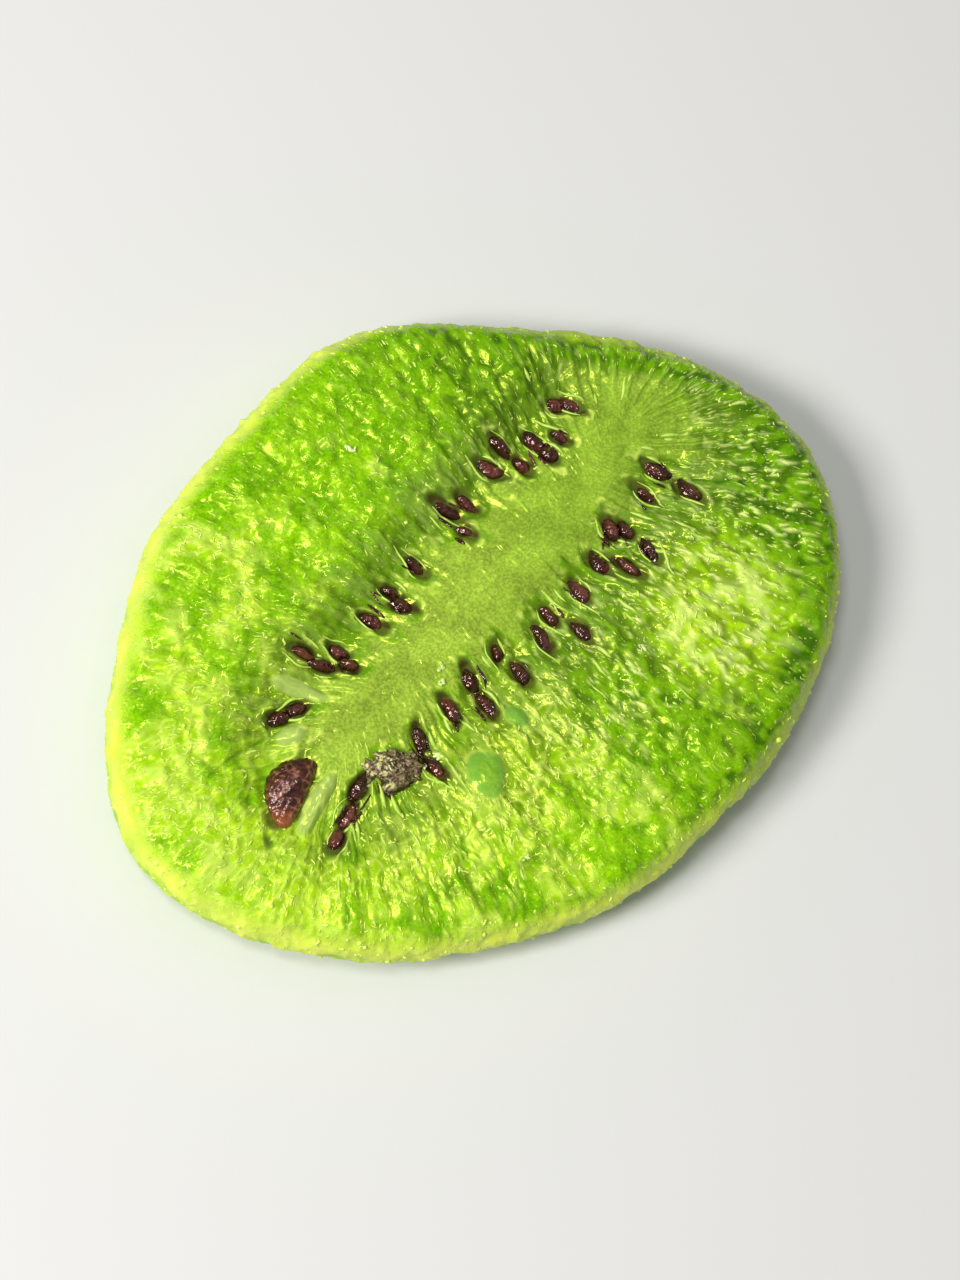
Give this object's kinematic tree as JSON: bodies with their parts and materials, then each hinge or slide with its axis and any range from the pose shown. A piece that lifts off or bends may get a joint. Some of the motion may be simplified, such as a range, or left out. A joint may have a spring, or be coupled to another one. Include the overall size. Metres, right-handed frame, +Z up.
{
  "type": "dried kiwi slice",
  "caption": "Slice of dried kiwi cut lengthwise, a rounded oval with a pale core band, dark seeds around it and a soft rounded rim, lying flat.",
  "frame": {"origin": "middle of the slice's bounding box seen from above, on the plane it rests on", "axes": "+X along the longer side of the slice's box, +Y across it, +Z up out of the cut face that shows; the core band lies about 50 degrees from +X"},
  "size_m": [0.0526, 0.046, 0.0076],
  "materials": {
    "flesh": "translucent lime-green dried flesh with a sugar-crusted, slightly glossy surface",
    "core": "pale olive-green fine-haired core band and whitish fibres between the seeds",
    "seeds": "glossy dark maroon-brown seeds",
    "sugar": "small pale yellow-green sugar grains on the flesh and rim"
  },
  "bodies": {
    "root": {"kiwi_slice": "flesh"}
  },
  "joints": []
}
